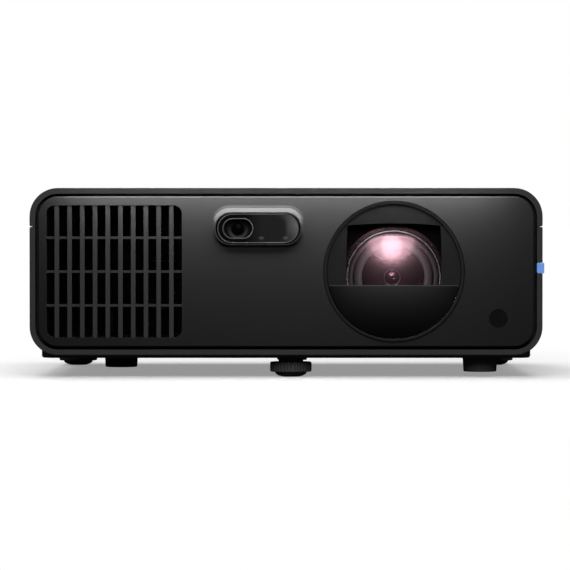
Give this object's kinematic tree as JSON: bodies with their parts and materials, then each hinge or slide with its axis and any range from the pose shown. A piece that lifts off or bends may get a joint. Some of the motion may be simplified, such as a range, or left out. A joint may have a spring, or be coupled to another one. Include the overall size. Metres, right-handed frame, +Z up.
{
  "type": "home projector",
  "caption": "Compact short-throw home projector with a slatted front vent, large domed lens, sensor window, keypad and screw feet.",
  "frame": {"origin": "on the table, under the middle of the body", "axes": "+X to the right seen from the front, +Y from the front to the back, +Z up from the table"},
  "size_m": [0.3078, 0.2489, 0.1143],
  "materials": {
    "shell_plastic": "fine moulded grain, near black",
    "panel_plastic": "satin, very dark grey",
    "grille_plastic": "satin, near black",
    "gloss_plastic": "polished black",
    "tab_plastic": "satin light blue",
    "lens_plastic": "flat black, moulded",
    "glass": "coated optical glass",
    "key_plastic": "satin, near black",
    "lamp_plastic": "clear light pipe",
    "rubber": "matte black",
    "foot_plastic": "moulded, knurled",
    "brass": "machined",
    "cast_alloy": "die-cast",
    "heatsink_alloy": "extruded",
    "socket_steel": "plated shell",
    "circuit_board": "green laminate"
  },
  "bodies": {
    "housing": {"top_cover": "shell_plastic", "bottom_cover": "shell_plastic", "front_panel": "panel_plastic", "front_grille": "grille_plastic", "side_grille_exhaust": "grille_plastic", "side_grille_intake": "grille_plastic", "side_tab": "tab_plastic", "lens_trim_ring": "panel_plastic", "lens_surround": "panel_plastic", "lens_lower_cover": "panel_plastic", "sensor_window": "gloss_plastic", "sensor_camera": "gloss_plastic", "distance_sensor": "gloss_plastic", "ir_windows": "gloss_plastic", "lens_barrel": "lens_plastic", "lens_retainer": "lens_plastic", "front_lens": "glass", "light_engine": "cast_alloy", "imager_heatsink": "heatsink_alloy", "laser_module": "cast_alloy", "laser_heatsink": "heatsink_alloy", "wheel_motor": "socket_steel", "exhaust_fan_frame": "lens_plastic", "intake_fan_frame": "lens_plastic", "power_supply": "circuit_board", "main_board": "circuit_board", "speaker": "lens_plastic", "rear_panel": "shell_plastic", "signal_sockets": "socket_steel", "mount_bosses": "shell_plastic", "audio_jacks": "gloss_plastic", "serial_port": "socket_steel", "mains_inlet": "gloss_plastic", "keypad_plate": "panel_plastic", "switch_board": "circuit_board", "indicator_lamps": "lamp_plastic", "mount_inserts": "brass"},
    "exhaust_fan": {"exhaust_fan_rotor": "lens_plastic"},
    "intake_fan": {"intake_fan_rotor": "lens_plastic"},
    "phosphor_wheel": {"phosphor_wheel": "heatsink_alloy"},
    "focus_ring": {"focus_ring": "lens_plastic"},
    "focus_cell": {"focus_cell": "lens_plastic", "focus_glass": "glass"},
    "zoom_ring": {"zoom_ring": "lens_plastic"},
    "zoom_cell": {"zoom_cell": "lens_plastic", "zoom_glass": "glass"},
    "key_ok": {"key_ok": "key_plastic"},
    "key_right": {"key_right": "key_plastic"},
    "key_up": {"key_up": "key_plastic"},
    "key_left": {"key_left": "key_plastic"},
    "key_down": {"key_down": "key_plastic"},
    "key_power": {"key_power": "key_plastic"},
    "key_source": {"key_source": "key_plastic"},
    "key_back": {"key_back": "key_plastic"},
    "foot_pad_front": {"foot_pad_front": "rubber"},
    "foot_wheel_front": {"foot_wheel_front": "foot_plastic"},
    "foot_pad_rear_left": {"foot_pad_rear_left": "rubber"},
    "foot_wheel_rear_left": {"foot_wheel_rear_left": "foot_plastic"},
    "foot_pad_rear_right": {"foot_pad_rear_right": "rubber"},
    "foot_wheel_rear_right": {"foot_wheel_rear_right": "foot_plastic"}
  },
  "joints": [
    {"name": "exhaust_fan_spin", "type": "hinge", "parent": "housing", "child": "exhaust_fan", "pos_m": [-0.1028, -0.0975, 0.0637], "axis": [0, 1, 0], "continuous": true},
    {"name": "intake_fan_spin", "type": "hinge", "parent": "housing", "child": "intake_fan", "pos_m": [0.13545, 0.0375, 0.0637], "axis": [1, 0, 0], "continuous": true},
    {"name": "phosphor_wheel_spin", "type": "hinge", "parent": "housing", "child": "phosphor_wheel", "pos_m": [0.0185, 0.0035, 0.0599], "axis": [0, 1, 0], "continuous": true},
    {"name": "focus_ring_turn", "type": "hinge", "parent": "housing", "child": "focus_ring", "pos_m": [0.0645, -0.085, 0.0599], "axis": [0, 1, 0], "range_deg": [-60, 60]},
    {"name": "focus_cell_slide", "type": "slide", "parent": "housing", "child": "focus_cell", "axis": [0, 1, 0], "range_m": [-0.0015, 0.0015]},
    {"name": "zoom_ring_turn", "type": "hinge", "parent": "housing", "child": "zoom_ring", "pos_m": [0.0645, -0.07, 0.0599], "axis": [0, 1, 0], "range_deg": [-20, 20]},
    {"name": "zoom_cell_slide", "type": "slide", "parent": "housing", "child": "zoom_cell", "axis": [0, 1, 0], "range_m": [-0.004, 0.004]},
    {"name": "key_ok_press", "type": "slide", "parent": "housing", "child": "key_ok", "axis": [0, 0, -1], "range_m": [0, 0.0005], "stiffness_N_per_m": 1000, "springref_m": -0.0002},
    {"name": "key_right_press", "type": "slide", "parent": "housing", "child": "key_right", "axis": [0, 0, -1], "range_m": [0, 0.0005], "stiffness_N_per_m": 1000, "springref_m": -0.0002},
    {"name": "key_up_press", "type": "slide", "parent": "housing", "child": "key_up", "axis": [0, 0, -1], "range_m": [0, 0.0005], "stiffness_N_per_m": 1000, "springref_m": -0.0002},
    {"name": "key_left_press", "type": "slide", "parent": "housing", "child": "key_left", "axis": [0, 0, -1], "range_m": [0, 0.0005], "stiffness_N_per_m": 1000, "springref_m": -0.0002},
    {"name": "key_down_press", "type": "slide", "parent": "housing", "child": "key_down", "axis": [0, 0, -1], "range_m": [0, 0.0005], "stiffness_N_per_m": 1000, "springref_m": -0.0002},
    {"name": "key_power_press", "type": "slide", "parent": "housing", "child": "key_power", "axis": [0, 0, -1], "range_m": [0, 0.0005], "stiffness_N_per_m": 1000, "springref_m": -0.0002},
    {"name": "key_source_press", "type": "slide", "parent": "housing", "child": "key_source", "axis": [0, 0, -1], "range_m": [0, 0.0005], "stiffness_N_per_m": 1000, "springref_m": -0.0002},
    {"name": "key_back_press", "type": "slide", "parent": "housing", "child": "key_back", "axis": [0, 0, -1], "range_m": [0, 0.0005], "stiffness_N_per_m": 1000, "springref_m": -0.0002},
    {"name": "foot_slide_front", "type": "slide", "parent": "housing", "child": "foot_pad_front", "axis": [0, 0, -1], "range_m": [-0.0022, 0.012]},
    {"name": "foot_turn_front", "type": "hinge", "parent": "foot_pad_front", "child": "foot_wheel_front", "pos_m": [0.0029, -0.0975, 0.0029], "axis": [0, 0, 1], "range_deg": [-397, 2161]},
    {"name": "foot_slide_rear_left", "type": "slide", "parent": "housing", "child": "foot_pad_rear_left", "axis": [0, 0, -1], "range_m": [-0.0022, 0.012]},
    {"name": "foot_turn_rear_left", "type": "hinge", "parent": "foot_pad_rear_left", "child": "foot_wheel_rear_left", "pos_m": [-0.13885, 0.0915, 0.0029], "axis": [0, 0, 1], "range_deg": [-397, 2161]},
    {"name": "foot_slide_rear_right", "type": "slide", "parent": "housing", "child": "foot_pad_rear_right", "axis": [0, 0, -1], "range_m": [-0.0022, 0.012]},
    {"name": "foot_turn_rear_right", "type": "hinge", "parent": "foot_pad_rear_right", "child": "foot_wheel_rear_right", "pos_m": [0.13885, 0.0915, 0.0029], "axis": [0, 0, 1], "range_deg": [-397, 2161]}
  ],
  "couplings": [
    {"joint": "focus_cell_slide", "follows": "focus_ring_turn", "m_per_rad": 0.001431},
    {"joint": "zoom_cell_slide", "follows": "zoom_ring_turn", "m_per_rad": 0.011448},
    {"joint": "foot_turn_front", "follows": "foot_slide_front", "rad_per_m": 3141.6},
    {"joint": "foot_turn_rear_left", "follows": "foot_slide_rear_left", "rad_per_m": 3141.6},
    {"joint": "foot_turn_rear_right", "follows": "foot_slide_rear_right", "rad_per_m": 3141.6}
  ]
}
